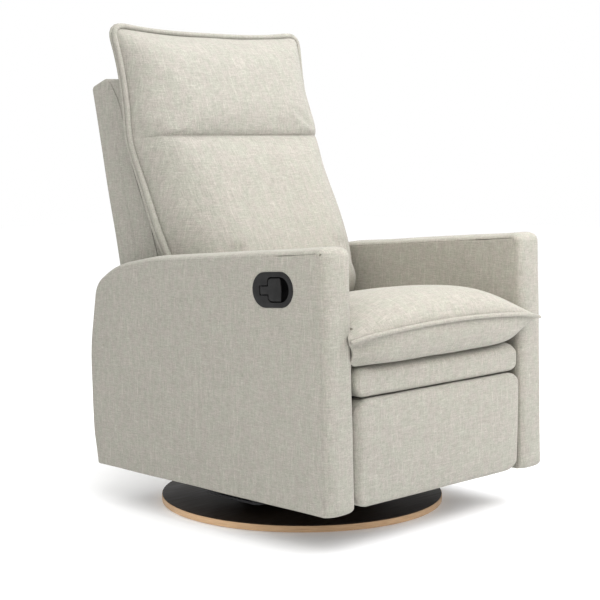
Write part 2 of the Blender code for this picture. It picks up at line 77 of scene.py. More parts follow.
class Look:
    """A material with one Principled shader, and short ways to add nodes."""

    def __init__(self, name, roughness, metallic=0.0, specular=0.5, sheen=0.0):
        self.material = bpy.data.materials.new(name)
        self.material.use_nodes = True
        self.tree = self.material.node_tree
        self.principled = self.tree.nodes["Principled BSDF"]
        self.set("Roughness", roughness)
        self.set("Metallic", metallic)
        self.set("Specular IOR Level", specular)
        self.set("Sheen Weight", sheen)
        self.set("Sheen Roughness", 0.5)
        coordinates = self.tree.nodes.new("ShaderNodeTexCoord")
        self.position = coordinates.outputs["Object"]
        self.normal = coordinates.outputs["Normal"]

    def set(self, socket, value):
        self.principled.inputs[socket].default_value = value

    def link(self, source, target):
        if isinstance(source, (int, float)):
            target.default_value = source
        elif isinstance(source, tuple):
            target.default_value = (*source, 1.0)[:len(target.default_value)]
        else:
            self.tree.links.new(source, target)

    def add(self, kind, *values, **settings):
        """A new node's outputs, after its settings are made and values go into its first sockets."""
        node = self.tree.nodes.new("ShaderNode" + kind)
        for setting, choice in settings.items():
            setattr(node, setting, choice)
        for value, socket in zip(values, node.inputs):
            self.link(value, socket)
        return node.outputs

    def math(self, operation, *values):
        return self.add("Math", *values, operation=operation)[0]

    def times(self, first, second):
        return self.math("MULTIPLY", first, second)

    def choose(self, factor, low, high):
        """low where factor is 0, high where it is 1."""
        node = self.tree.nodes.new("ShaderNodeMix")
        self.link(factor, node.inputs[0])
        self.link(low, node.inputs[2])
        self.link(high, node.inputs[3])
        return node.outputs[0]

    def mix_colour(self, factor, low, high, blend="MIX"):
        node = self.tree.nodes.new("ShaderNodeMix")
        node.data_type = "RGBA"
        node.blend_type = blend
        self.link(factor, node.inputs[0])
        self.link(low, node.inputs[6])
        self.link(high, node.inputs[7])
        return node.outputs[2]

    def split(self, vector):
        return tuple(self.add("SeparateXYZ", vector))

    def join(self, x, y, z):
        return self.add("CombineXYZ", x, y, z)[0]

    def noise(self, vector, scale=1.0, detail=2.0, rough=0.5):
        node = self.tree.nodes.new("ShaderNodeTexNoise")
        self.link(vector, node.inputs["Vector"])
        node.inputs["Scale"].default_value = scale
        node.inputs["Detail"].default_value = detail
        node.inputs["Roughness"].default_value = rough
        return node.outputs[0]

    def ramp(self, value, low, high, to_low=0.0, to_high=1.0):
        """value mapped smoothly from low..high to to_low..to_high, and held outside."""
        return self.add("MapRange", value, low, high, to_low, to_high, interpolation_type="SMOOTHSTEP")[0]

    def bump(self, height, distance, strength):
        node = self.tree.nodes.new("ShaderNodeBump")
        node.inputs["Strength"].default_value = strength
        node.inputs["Distance"].default_value = distance
        self.link(height, node.inputs["Height"])
        self.link(node.outputs["Normal"], self.principled.inputs["Normal"])

    def colour(self, source):
        self.link(source, self.principled.inputs["Base Color"])

    def tone(self, value, first, second, low=0.3, high=0.7):
        """The first colour where value is under low, the second over high, and a smooth mix between."""
        return self.mix_colour(self.ramp(value, low, high), first, second)

    def vary_roughness(self, value, smooth, rough):
        self.link(self.ramp(value, 0.3, 0.7, smooth, rough), self.principled.inputs["Roughness"])


def cloth_axes(look):
    """(across, along, depth) of the weave: the fabric's threads follow the face that a point is on."""
    px, py, pz = look.split(look.position)
    nx, ny, nz = (look.math("ABSOLUTE", part) for part in look.split(look.normal))
    side = look.math("GREATER_THAN", nx, look.math("MAXIMUM", ny, nz))
    level = look.math("GREATER_THAN", nz, look.math("MAXIMUM", nx, ny))
    across = look.choose(side, px, py)
    along = look.choose(level, pz, py)
    depth = look.choose(level, look.choose(side, py, px), pz)
    return across, along, depth


LINEN_COOL = (0.297, 0.292, 0.25)
LINEN_WARM = (0.309, 0.29, 0.256)
THREAD_PAIR = 0.0013  # of the plain weave


def linen_material():
    """A plain weave with uneven yarns: long slubs run both ways over a fine, mottled ground."""
    look = Look("linen_fabric_look", 0.92, specular=0.18, sheen=0.1)
    across, along, depth = cloth_axes(look)

    def threads(length_across, length_along, seed, detail=1.0):
        """Noise drawn out over these lengths, in metres."""
        place = look.join(look.math("DIVIDE", across, length_across),
                          look.math("DIVIDE", along, length_along),
                          look.math("MULTIPLY_ADD", depth, 3.0, seed))
        return look.noise(place, detail=detail)

    slub_warp = look.ramp(threads(0.004, 0.048, 17.7), 0.55, 0.75)
    slub_weft = look.ramp(threads(0.038, 0.004, 3.1), 0.55, 0.76)
    broad_warp = threads(0.011, 0.09, 51.0)
    warp = threads(0.0022, 0.016, 5.3)
    weft = threads(0.015, 0.0023, 9.9)
    grain = threads(0.0024, 0.0024, 13.0)
    mottle = threads(0.008, 0.01, 23.0, 2.0)
    cloud = threads(0.11, 0.11, 31.0, 2.0)
    tint = threads(0.018, 0.026, 41.0, 2.0)
    shade = look.math("MULTIPLY_ADD", slub_weft, 0.08, 0.95)
    shade = look.math("MULTIPLY_ADD", slub_warp, 0.1, shade)
    shading = ((warp, 0.36), (weft, 0.34), (grain, 0.42), (broad_warp, 0.1), (mottle, 0.12), (cloud, 0.06))
    for value, amount in shading:
        change = look.times(look.math("SUBTRACT", value, 0.5), amount)
        shade = look.math("ADD", shade, change)
    yarn = look.tone(tint, LINEN_COOL, LINEN_WARM, 0.36, 0.64)
    look.colour(look.mix_colour(1.0, yarn, look.join(shade, shade, shade), "MULTIPLY"))
    pick = look.math("SINE", look.times(across, 2 * pi / THREAD_PAIR))
    end = look.math("SINE", look.times(along, 2 * pi / THREAD_PAIR))
    height = look.times(look.times(pick, end), 0.18)
    for value, amount in ((warp, 0.55), (weft, 0.55), (slub_weft, 0.35), (slub_warp, 0.35)):
        height = look.math("MULTIPLY_ADD", value, amount, height)
    look.bump(height, 0.0005, 0.75)
    look.vary_roughness(warp, 0.86, 0.97)
    return look.material


def steel_material():
    """Dark powder-coated steel with a fine orange peel."""
    look = Look("dark_steel_look", 0.42, metallic=0.55)
    peel = look.noise(look.position, 900.0, 2.0)
    patch = look.noise(look.position, 22.0, 3.0)
    look.colour(look.tone(patch, (0.032, 0.032, 0.034), (0.06, 0.06, 0.062)))
    look.vary_roughness(patch, 0.36, 0.5)
    look.bump(peel, 0.00012, 0.5)
    return look.material


def plastic_material():
    """Charcoal moulded plastic with a fine spark-eroded grain."""
    look = Look("charcoal_plastic_look", 0.48, specular=0.15)
    grain = look.noise(look.position, 1600.0, 2.0)
    cloud = look.noise(look.position, 60.0, 2.0)
    look.colour(look.tone(cloud, (0.0105, 0.0105, 0.0105), (0.0145, 0.0145, 0.0145)))
    look.vary_roughness(grain, 0.34, 0.46)
    look.bump(grain, 0.00006, 0.6)
    return look.material


def frame_wood_material():
    """Plain timber for the hidden frame: long grain along Z, with pores."""
    light, dark = (0.56, 0.4, 0.24), (0.43, 0.28, 0.15)
    look = Look("frame_wood_look", 0.55, specular=0.35)
    parts = [look.times(part, density)
             for part, density in zip(look.split(look.position), (130.0, 130.0, 6.0))]
    figure = look.noise(look.join(*parts), 1.0, 3.0, 0.55)
    pore = look.noise(look.join(*(look.times(part, 3.5) for part in parts)), 1.0, 2.0)
    tone = look.tone(figure, light, dark, 0.32, 0.68)
    pore_colour = tuple(0.5 * part for part in dark)
    look.colour(look.mix_colour(look.ramp(pore, 0.62, 0.75, 0.0, 0.35), tone, pore_colour))
    look.bump(pore, 0.0001, 0.5)
    return look.material


OAK_LIGHT = (0.64, 0.43, 0.25)
OAK_DARK = (0.5, 0.32, 0.18)
GLUE_LINE = (0.42, 0.27, 0.15)
OAK_PORE = (0.36, 0.23, 0.13)
PLY_THICKNESS = 0.0035
BASE_RADIUS = 0.336


def round_plywood_material():
    """The base's edge: oak-faced plies that run round the rim."""
    look = Look("oak_plywood_look", 0.48, specular=0.35)
    px, py, pz = look.split(look.position)
    round_it = look.times(look.math("ARCTAN2", py, px), BASE_RADIUS)

    def grain(round_density, height_density, seed):
        place = look.join(look.times(round_it, round_density), look.times(pz, height_density), seed)
        return look.noise(place)

    fibre = grain(22.0, 900.0, 0.0)
    fleck = grain(70.0, 2200.0, 7.0)
    ply = look.math("SINE", look.times(pz, 2 * pi / PLY_THICKNESS))
    tone = look.tone(fibre, OAK_LIGHT, OAK_DARK, 0.33, 0.67)
    tone = look.mix_colour(look.ramp(ply, 0.55, 1.0, 0.0, 0.22), tone, GLUE_LINE)
    look.colour(look.mix_colour(look.ramp(fleck, 0.62, 0.74, 0.0, 0.3), tone, OAK_PORE))
    look.bump(fibre, 0.0001, 0.5)
    return look.material


def laminate_material():
    """A dark stained board under a satin lacquer."""
    look = Look("dark_laminate_look", 0.5, specular=0.15)
    px, py, pz = look.split(look.position)
    along_x = look.join(look.times(px, 9.0), look.times(py, 220.0), pz)
    grain = look.noise(along_x, 1.0, 3.0)
    look.colour(look.tone(grain, (0.018, 0.0115, 0.0075), (0.028, 0.0185, 0.0125)))
    look.vary_roughness(grain, 0.46, 0.58)
    look.bump(grain, 0.00006, 0.5)
    return look.material


def felt_material():
    look = Look("felt_look", 0.98, specular=0.1)
    hair = look.noise(look.position, 700.0, 4.0, 0.7)
    look.colour(look.tone(hair, (0.03, 0.03, 0.032), (0.07, 0.07, 0.072)))
    look.bump(hair, 0.0004, 0.8)
    return look.material


LINEN = linen_material()
PLASTIC = plastic_material()
FRAME_LOOKS = {
    "frame_wood": frame_wood_material(),
    "oak_plywood": round_plywood_material(),
    "dark_laminate": laminate_material(),
    "dark_steel": steel_material(),
    "black_plastic": PLASTIC,
    "felt": felt_material(),
    FABRIC: LINEN,
}


def finish_cad_nodes():
    """Gives each CAD node the look of the record's slot that it wears."""
    for entry in frame["record"]["subparts"]:
        mesh = NODES[entry["node"]].data
        mesh.materials.clear()
        mesh.materials.append(FRAME_LOOKS[entry["material_slot"]])


# -------- profiles and curves

def smoothstep(value, low=0.0, high=1.0):
    t = np.clip((np.asarray(value, float) - low) / (high - low), 0.0, 1.0)
    return t * t * (3 - 2 * t)


def along_table(value, rows):
    """A smooth curve through (position, value) rows."""
    x, y = np.array([r[0] for r in rows], float), np.array([r[1] for r in rows], float)
    slope = np.gradient(y, x)
    value = np.clip(np.asarray(value, float), x[0], x[-1])
    i = np.clip(np.searchsorted(x, value, side="right") - 1, 0, len(x) - 2)
    step = x[i + 1] - x[i]
    t = (value - x[i]) / step
    a, b = y[i], y[i + 1]
    p, q = slope[i] * step, slope[i + 1] * step
    return a + t * (p + t * (3 * (b - a) - 2 * p - q + t * (2 * (a - b) + p + q)))


def smooth_closed(points, per_span):
    """A closed Catmull-Rom curve through points."""
    p = np.array(points, float)
    out = []
    for i in range(len(p)):
        a, b, c, d = p[i - 1], p[i], p[(i + 1) % len(p)], p[(i + 2) % len(p)]
        for k in range(per_span):
            t = k / per_span
            out.append(0.5 * (2 * b + (c - a) * t + (2 * a - 5 * b + 4 * c - d) * t * t
                              + (3 * b - a - 3 * c + d) * t ** 3))
    return np.array(out)


def rounded(corners, steps=6):
    """An outline from (a, b, radius) corners, each rounded by its own radius."""
    outline = []
    for i, (a, b, radius) in enumerate(corners):
        corner = Vector((a, b))
        before = (Vector(corners[i - 1][:2]) - corner).normalized()
        after = (Vector(corners[(i + 1) % len(corners)][:2]) - corner).normalized()
        half = before.angle(after) / 2
        centre = corner + (before + after).normalized() * radius / sin(half)
        start = corner + before * radius / tan(half) - centre
        end = corner + after * radius / tan(half) - centre
        first = atan2(start.y, start.x)
        sweep = (atan2(end.y, end.x) - first + pi) % (2 * pi) - pi
        angles = [first + sweep * k / steps for k in range(steps + 1)]
        outline += [(centre.x + radius * cos(angle), centre.y + radius * sin(angle)) for angle in angles]
    return outline


def spaced(outline, most):
    """The closed outline with points added, so that none are further apart than most."""
    out = []
    for i, a in enumerate(outline):
        a, b = np.array(a, float), np.array(outline[(i + 1) % len(outline)], float)
        count = max(1, int(np.ceil(np.linalg.norm(b - a) / most)))
        out += [a + (b - a) * k / count for k in range(count)]
    return np.array(out)


def stadium(first, last, radius, steps):
    """An outline with a round end about each of two points on the a axis."""
    ends = [(last, -pi / 2), (first, pi / 2)]
    return [(centre + radius * cos(start + pi * k / steps), radius * sin(start + pi * k / steps))
            for centre, start in ends for k in range(steps + 1)]


def back_line(z, depth):
    """(y, z) of a point this far in front of the back's rear face."""
    return (0.344 + REAR_SLOPE * (z - 0.556) - depth, z)


# -------- meshes

def in_scene(name, data):
    """A new object of this data, in the scene."""
    piece = bpy.data.objects.new(name, data)
    bpy.context.scene.collection.objects.link(piece)
    return piece


def clean(mesh, distance):
    """Welds vertices that are this close, and turns the faces outward."""
    shape = bmesh.new()
    shape.from_mesh(mesh)
    bmesh.ops.remove_doubles(shape, verts=shape.verts, dist=distance)
    bmesh.ops.recalc_face_normals(shape, faces=shape.faces)
    shape.to_mesh(mesh)
    shape.free()


def new_piece(name, vertices, faces, material=LINEN):
    mesh = bpy.data.meshes.new(name)
    mesh.from_pydata(np.asarray(vertices, float).tolist(), [], faces)
    clean(mesh, 1e-6)
    mesh.shade_smooth()
    mesh.materials.append(material)
    return in_scene(name, mesh)


def grid_faces(rows, columns, wrap_columns=False, start=0):
    """Quads between the rows of a grid of vertices, which begins at vertex start."""
    return [(start + i * columns + j, start + i * columns + (j + 1) % columns,
             start + (i + 1) * columns + (j + 1) % columns, start + (i + 1) * columns + j)
            for i in range(rows - 1)
            for j in range(columns if wrap_columns else columns - 1)]


def points_of(mesh):
    co = np.empty(len(mesh.vertices) * 3, np.float32)
    mesh.vertices.foreach_get("co", co)
    return co.reshape(-1, 3).astype(float)


def set_points(piece, points):
    piece.data.vertices.foreach_set("co", np.asarray(points, np.float32).ravel())
    piece.data.update()


def undulate(piece, amount, wavelength, seed):
    """Moves the surface in and out along its normals by smooth noise."""
    points = points_of(piece.data)
    normals = np.empty(points.size, np.float32)
    piece.data.vertex_normals.foreach_get("vector", normals)
    offset = Vector((seed, seed * 0.7, -seed))
    waves = np.array([noise.noise(Vector(point) / wavelength + offset) for point in points])
    set_points(piece, points + normals.reshape(-1, 3).astype(float) * (amount * waves)[:, None])


def loft(name, loops, material=LINEN):
    """A closed body through closed loops of equal length, capped at both ends."""
    count, last = len(loops[0]), (len(loops) - 1) * len(loops[0])
    faces = grid_faces(len(loops), count, wrap_columns=True)
    faces += [tuple(range(count)), tuple(range(last, last + count))]
    return new_piece(name, np.concatenate(loops), faces, material)


def tube(name, path, radii, sides, material=LINEN):
    """A round body along a path, with a radius at each of its points, and flat ends."""
    path = np.array(path, float)
    radii = np.broadcast_to(np.asarray(radii, float), (len(path),))
    ahead = np.roll(path, -1, 0) - np.roll(path, 1, 0)
    ahead[0], ahead[-1] = path[1] - path[0], path[-1] - path[-2]
    ahead /= np.linalg.norm(ahead, axis=1)[:, None]
    side = np.cross(ahead[0], (0.0, 0.0, 1.0) if abs(ahead[0][2]) < 0.9 else (0.0, 1.0, 0.0))
    rings = []
    for point, forward, radius in zip(path, ahead, radii):
        side = side - forward * (side @ forward)
        side /= np.linalg.norm(side)
        up = np.cross(forward, side)
        rings.append([point + radius * (side * cos(2 * pi * k / sides) + up * sin(2 * pi * k / sides))
                      for k in range(sides)])
    return loft(name, rings, material)


def joined(name, *pieces):
    """One object from several meshes, under a new name."""
    shape = bmesh.new()
    for piece in pieces:
        shape.from_mesh(piece.data)
    mesh = bpy.data.meshes.new(name)
    shape.to_mesh(mesh)
    shape.free()
    mesh.materials.append(pieces[0].data.materials[0])
    mesh.shade_smooth()
    for piece in pieces:
        bpy.data.objects.remove(piece, do_unlink=True)
    return in_scene(name, mesh)


def evaluated(piece):
    """The piece as its modifiers leave it."""
    bpy.context.view_layer.update()
    return piece.evaluated_get(bpy.context.evaluated_depsgraph_get())


CLOTH_FRAMES = 20
STUFFING_PRESSURE = 4.0


def add_cloth(piece, held):
    """A cloth modifier with stuffing behind it. held is true for the vertices that are sewn down."""
    pins = piece.vertex_groups.new(name="held")
    pins.add([int(i) for i in np.nonzero(held)[0]], 1.0, "REPLACE")
    cloth = piece.modifiers.new("stuffing", "CLOTH")
    fabric = cloth.settings
    fabric.quality = 5
    fabric.mass = 0.3
    fabric.tension_stiffness = fabric.compression_stiffness = 20
    fabric.shear_stiffness = 8
    fabric.bending_stiffness = 1.5
    fabric.use_pressure = True
    fabric.uniform_pressure_force = STUFFING_PRESSURE
    fabric.vertex_group_mass = "held"
    fabric.effector_weights.gravity = 0
    cloth.collision_settings.use_collision = False
    cloth.point_cache.frame_end = CLOTH_FRAMES


def settle(piece, held, cap):
    """Lets stuffing swell a padded piece as cloth, with no point moving as far as cap."""
    before = points_of(piece.data)
    add_cloth(piece, held)
    scene = bpy.context.scene
    for number in range(1, CLOTH_FRAMES + 1):
        scene.frame_set(number)
    settled = evaluated(piece)
    move = points_of(settled.to_mesh()) - before
    settled.to_mesh_clear()
    piece.modifiers.clear()
    piece.vertex_groups.clear()
    scene.frame_set(1)
    length = np.maximum(np.linalg.norm(move, axis=1), 1e-9)
    set_points(piece, before + move * (cap * np.tanh(length / cap) / length)[:, None])


SEAM_WIDTH = 0.001  # of the groove along a slab's seams


def edge_section(half, edge, seam_depth):
    """(inset, height) rings from inside a slab's panel, over its seam and round its edge to its rim.

    edge and seam_depth hold a value for each point of the rim.
    """
    insets = [edge + extra for extra in (0.022, 0.012)]
    insets += [edge + SEAM_WIDTH * k for k in (4, 2.6, 1.8, 1.2, 0.7, 0.3, 0, -0.3, -0.7, -1.2, -1.8)]
    insets += [(edge - 2.4 * SEAM_WIDTH) * (1 - cos(pi / 2 * k / 7)) for k in range(7, -1, -1)]
    section = []
    for inset in insets:
        lean = np.clip(1 - inset / edge, 0.0, 1.0)  # cosine of the edge's angle here
        rise = np.sqrt(1 - lean * lean)
        sunk = seam_depth * np.exp(-((inset - edge) / SEAM_WIDTH) ** 2)
        section.append((inset + sunk * lean, half - edge * (1 - rise) - sunk * rise))
    return section


def round_the_rim(value, rim, outward, passes):
    """value at each point of the rim, smoothed along it by some passes.

    It is a number, or a function of the point and its outward direction.
    """
    if not callable(value):
        return np.full(len(rim), float(value))
    values = np.array([value(*p, *n) for p, n in zip(rim, outward)])
    for _ in range(passes):
        values = 0.25 * np.roll(values, 1) + 0.5 * values + 0.25 * np.roll(values, -1)
    return values


def slab(name, outline, core, span, to_world, *, edge, seam_depth, puff, spacing,
         crown=0.0, crown_power=2.5, puff_reach=0.05, band_steps=12):
    """An upholstered slab: two panels in the outline's plane, joined by a band round it.

    core is a segment along the middle of the outline, which the panels close in on. crown is how far the
    band's middle stands out, and puff how far each panel does, over puff_reach from its edge.
    """
    rim = spaced(outline, spacing)
    area = np.sum(rim[:, 0] * np.roll(rim[:, 1], -1) - np.roll(rim[:, 0], -1) * rim[:, 1])
    rim = rim if area > 0 else rim[::-1]
    tangent = np.roll(rim, -1, 0) - np.roll(rim, 1, 0)
    tangent /= np.linalg.norm(tangent, axis=1)[:, None]
    outward = np.stack([tangent[:, 1], -tangent[:, 0]], 1)
    start, run = np.array(core[0], float), np.array(core[1], float) - np.array(core[0], float)
    share = np.clip(((rim - start) @ run) / (run @ run), 0, 1)
    inward = start + share[:, None] * run - rim
    reach = np.linalg.norm(inward, axis=1)
    inward /= reach[:, None]
    slant = np.maximum(0.5, -(inward * outward).sum(1))
    passes = int(0.08 / spacing)
    edges = round_the_rim(edge, rim, outward, passes)
    depths = round_the_rim(seam_depth, rim, outward, 2)
    bulge = round_the_rim(crown, rim, outward, passes)
    power = round_the_rim(crown_power, rim, outward, passes)
    low, high = sorted(span)
    centre, half = (low + high) / 2, (high - low) / 2
    section = edge_section(half, edges, depths)
    deepest = section[0][0]
    panel = []
    for fraction in (0.93, 0.8, 0.66, 0.52, 0.39, 0.27, 0.17, 0.08):
        panel.append((deepest + (reach * slant - deepest) * fraction, np.full(len(rim), half)))
    panel += section
    band = [(np.zeros(len(rim)), (half - edges) * (-1 + 2 * k / band_steps)) for k in range(1, band_steps)]
    rings = [(inset, -height, puff[0]) for inset, height in panel] + [(*ring, 0.0) for ring in band]
    rings += [(inset, height, puff[1]) for inset, height in reversed(panel)]
    loops = []
    for inset, height, amount in rings:
        stand = bulge * (1 - np.clip(np.abs(height) / half, 0, 1) ** power)
        place = rim + inward * (inset / slant)[:, None] + outward * stand[:, None]
        swell = amount * (1 - np.exp(-np.maximum(0.0, inset - edges) / puff_reach))
        across = centre + height + np.sign(height) * swell
        loops.append([to_world(a, b, h) for (a, b), h in zip(place, across)])
    return loft(name, loops)


def side_on(a, b, h):
    """(y, z) outlines with their thickness along X."""
    return (h, a, b)


def front_on(a, b, h):
    """(x, z) outlines with their thickness along Y."""
    return (a, h, b)


def upholster(piece, body, *nodes, fill=None):
    """Attaches a padded fabric piece to the body that it rides on, and hides the CAD nodes that it stands
    for.
    """
    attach(piece, body)
    if nodes:
        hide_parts(*nodes)


# -------- arms

LINK_CLEARANCE = 0.2834  # half the space between the arms that the footrest's links need
NICK_PLACE = (-0.4128, 0.63)  # (y, z) of the opening in the seam at each arm's top front corner
NICK_RADII = {-0.003: 0.0042, 0.002: 0.0036, 0.007: 0.0024, 0.012: 0.0008}  # by depth into the arm


def arm_outline():
    return rounded([(-0.433, BODY_BOTTOM, 0.01), (0.3205, BODY_BOTTOM, 0.005), (0.3358, 0.165, 0.12),
                    (0.3455, 0.36, 0.5), (0.319, 0.52, 0.06), (0.245, 0.566, 0.2), (0.12, 0.59, 0.4),
                    (-0.4135, 0.638, 0.014)],
                   steps=10)


def weigh(front, top, rear, bottom):
    """A value for each side of an outline, turned smoothly from one to the next round its corners."""
    def value(y, z, ny, nz):
        return (front * max(0.0, -ny) ** 2 + rear * max(0.0, ny) ** 2
                + top * max(0.0, nz) ** 2 + bottom * max(0.0, -nz) ** 2)
    return value


def arm_seam(y, z, ny, nz):
    """The seam is tight down the front, fades out back along the top, and gapes at one place there."""
    tight = float(1 - smoothstep(y, -0.36, -0.24))
    gape = float(smoothstep(y, -0.346, -0.334) - smoothstep(y, -0.302, -0.29))
    top = 0.0005 + 0.0015 * tight + 0.0032 * gape
    return weigh(0.002, top, 0.001, 0.0)(y, z, ny, nz)


def handle_matrix():
    """From a flat (a, b) drawing, with depth into the arm as its third axis, to the handle's place."""
    return (Matrix.Translation(HANDLE) @ Matrix.Rotation(HANDLE_TILT, 4, "X")
            @ Euler((pi / 2, 0, pi / 2)).to_matrix().to_4x4())


def in_handle_plane(outline, depth):
    """The outline's points at a depth into the arm."""
    place = handle_matrix()
    return np.array([place @ Vector((a, b, depth)) for a, b in outline])


def cup_loop(radius, depth):
    return in_handle_plane(stadium(-CUP_HALF_FLAT, CUP_HALF_FLAT, radius, 24), depth)


def handle_hole():
    """A cutter for the hole in the right arm that the handle's cup fits."""
    return loft("handle_hole", [cup_loop(CUP_RADIUS + 0.0006, depth) for depth in (-0.02, 0.03)])


def make_arms():
    for side, sign in SIDES.items():
        arm = slab(
            f"arm_cover_{side}", arm_outline(), ((-0.21, 0.345), (0.12, 0.335)), [sign * x for x in ARM_X],
            side_on, edge=weigh(0.0056, 0.007, 0.007, 0.0045), seam_depth=arm_seam,
            crown=weigh(0.011, 0.0065, 0.005, 0.0), crown_power=weigh(4.2, 2.4, 3.0, 2.0),
            puff=(0.0022, 0.0022), puff_reach=0.06, spacing=0.006)
        undulate(arm, 0.0012, 0.13, 3.0 + sign)
        clear_of_links(arm)
        cutters = [corner_nick(side)]
        if side == "right":
            cutters.append(handle_hole())
        cut_out(arm, cutters)
        upholster(arm, "chassis", f"arm_frame_{side}", f"arm_inner_pad_{side}", f"arm_outer_pad_{side}",
                  fill=0.9)


def clear_of_links(arm):
    """Flattens the arm's inner face below the seat, where the footrest's links pass it."""
    points = points_of(arm.data)
    inset = np.abs(points[:, 0])
    below = 1 - smoothstep(points[:, 2], 0.37, 0.43)
    points[:, 0] += np.sign(points[:, 0]) * below * np.maximum(0.0, LINK_CLEARANCE - inset)
    set_points(arm, points)


def corner_nick(side):
    """A cutter for the small opening where the arm's outer seams meet at its front corner."""
    sign = SIDES[side]
    y, z = NICK_PLACE
    path = [(sign * (ARM_X[1] - depth), y + 0.1 * depth, z) for depth in NICK_RADII]
    return tube("nick_cutter", path, list(NICK_RADII.values()), 3)


def cut_out(piece, cutters):
    for cutter in cutters:
        hole = piece.modifiers.new(cutter.name, "BOOLEAN")
        hole.operation = "DIFFERENCE"
        hole.solver = "EXACT"
        hole.object = cutter
    mesh = bpy.data.meshes.new_from_object(evaluated(piece))
    mesh.set_sharp_from_angle(angle=radians(50))
    piece.modifiers.clear()
    piece.data = mesh
    for cutter in cutters:
        bpy.data.objects.remove(cutter, do_unlink=True)


# -------- seat cushion

SEAT_HALF_WIDTH = 0.2783
EAR_TIP = 0.319  # of the piping at the left end, which stands in front of its arm
EAR_BODY = 0.302  # where the padding ends, short of the piping's tip
NEAR_EAR_TIP = 0.313  # the same two at the right end, which presses against its arm's front
NEAR_EAR_BODY = 0.309
NEAR_BULGE = 0.0125
NEAR_RETREAT = 0.024  # how far that end's front curves back to the arm
# Matching (y, z) points of the cushion's section at its middle and at its ends, from the welt over the top.
SEAT_MIDDLE = [
    (-0.47, 0.4725), (-0.466, 0.488), (-0.453, 0.5065), (-0.418, 0.525), (-0.365, 0.533), (-0.3, 0.529),
    (-0.22, 0.516), (-0.12, 0.4975), (0.02, 0.474), (0.052, 0.466), (0.06, 0.43), (0.054, 0.401),
    (0.03, 0.394), (-0.2, 0.393), (-0.4, 0.393), (-0.433, 0.394), (-0.45, 0.3995), (-0.461, 0.415),
    (-0.467, 0.4365), (-0.469, 0.4565),
]
SEAT_EDGE = [
    (-0.462, 0.453), (-0.455, 0.46), (-0.442, 0.468), (-0.413, 0.475), (-0.36, 0.479), (-0.3, 0.477),
    (-0.22, 0.47), (-0.12, 0.461), (0.038, 0.448), (0.082, 0.443), (0.09, 0.425), (0.084, 0.403),
    (0.04, 0.398), (-0.2, 0.397), (-0.39, 0.4), (-0.418, 0.411), (-0.432, 0.421), (-0.444, 0.43),
    (-0.454, 0.439), (-0.46, 0.4475),
]
SEAT_CORE = np.array([-0.205, 0.44])  # of the section, which each end closes in on
SEAT_LOWER_FRONT = np.array([-0.44, 0.402])
SEAT_END_CLOSING = [0.985, 0.965, 0.94, 0.9, 0.78, 0.55, 0.25]


def welt_point(x):
    """The seat cushion's front piping: highest at the middle, and down and back to each pointed ear."""
    tip, back = (EAR_TIP, 0.015) if x > 0 else (NEAR_EAR_TIP, NEAR_RETREAT)
    s = abs(x) / tip
    return np.array([x, -0.4747 + back * s ** 4, 0.473 - 0.017 * s ** 2 - 0.007 * s ** 8])


def left_end(edge, from_welt):
    """How far out each point of the section goes at the left end: furthest at the welt."""
    from_corner = np.hypot(*(edge - SEAT_LOWER_FRONT).T)
    return (SEAT_HALF_WIDTH + (EAR_BODY - SEAT_HALF_WIDTH) * np.exp(-(from_welt / 0.022) ** 1.6)
            - 0.008 * np.exp(-(from_corner / 0.03) ** 2))


def right_end(in_front, from_welt):
    """The same at the right end, which also bulges where it is in front of its arm."""
    body = SEAT_HALF_WIDTH + NEAR_BULGE * in_front
    return body + (NEAR_EAR_BODY - SEAT_HALF_WIDTH - NEAR_BULGE) * np.exp(-(from_welt / 0.016) ** 1.6)


def seat_loop(s, close=1.0):
    """The section at s, from -1 to 1 across the cushion, drawn in towards its core by close."""
    middle, edge = smooth_closed(SEAT_MIDDLE, 6), smooth_closed(SEAT_EDGE, 6)
    out = abs(s)
    low_front = smoothstep(-middle[:, 0], 0.3, 0.4) * smoothstep(-middle[:, 1], -0.445, -0.415)
    lift = out ** 7 * (1.0 if s > 0 else 0.15)
    share = (out ** 3 * (1 - low_front) + lift * low_front)[:, None]
    loop = middle * (1 - share) + edge * share
    from_welt = np.hypot(*(edge - edge[0]).T)
    if s > 0:
        half = left_end(edge, from_welt)
    else:
        in_front = smoothstep(-loop[:, 0], 0.425, 0.452)
        half = right_end(in_front, from_welt)
        loop[:, 0] += NEAR_RETREAT * in_front * smoothstep(out, 0.7, 1.05) ** 1.3
    spread = out * SEAT_HALF_WIDTH + smoothstep(out, 0.72, 1.0) * (half - SEAT_HALF_WIDTH)
    inner = SEAT_HALF_WIDTH - 0.001
    open_end = smoothstep(close, 0.9, 1.0)
    x = np.sign(s) * (spread * open_end + inner * (1 - open_end))
    return np.column_stack([x, SEAT_CORE + (loop - SEAT_CORE) * close])


def make_seat():
    loops = [seat_loop(-1.0, close) for close in reversed(SEAT_END_CLOSING)]
    loops += [seat_loop(s) for s in np.sin(np.linspace(-pi / 2, pi / 2, 71))]
    loops += [seat_loop(1.0, close) for close in SEAT_END_CLOSING]
    cushion = loft("seat_cushion_cover", loops)
    undulate(cushion, 0.0018, 0.11, 8.0)
    x, y, z = points_of(cushion.data).T
    underside, rear, ends = z < 0.404, y > 0.05, np.abs(x) > 0.272
    settle(cushion, underside | rear | ends, cap=0.006)
    upholster(cushion, "chassis", "seat_cushion", fill=0.75)
    xs = np.interp(np.sin(np.linspace(-pi / 2, pi / 2, 121)), (-1, 1), (-NEAR_EAR_TIP, EAR_TIP))
    radii = 0.0048 - 0.0014 * smoothstep(np.abs(xs), 0.302, EAR_TIP)
    welt = tube("seat_cushion_welt", [welt_point(x) for x in xs], radii, 12)
    upholster(welt, "chassis")


# -------- back pillow

PILLOW_SEAM = 0.866
PILLOW_TOP = 1.107
PIPING_OUT = 0.0025  # how far the pillow's skin is drawn in behind its piping
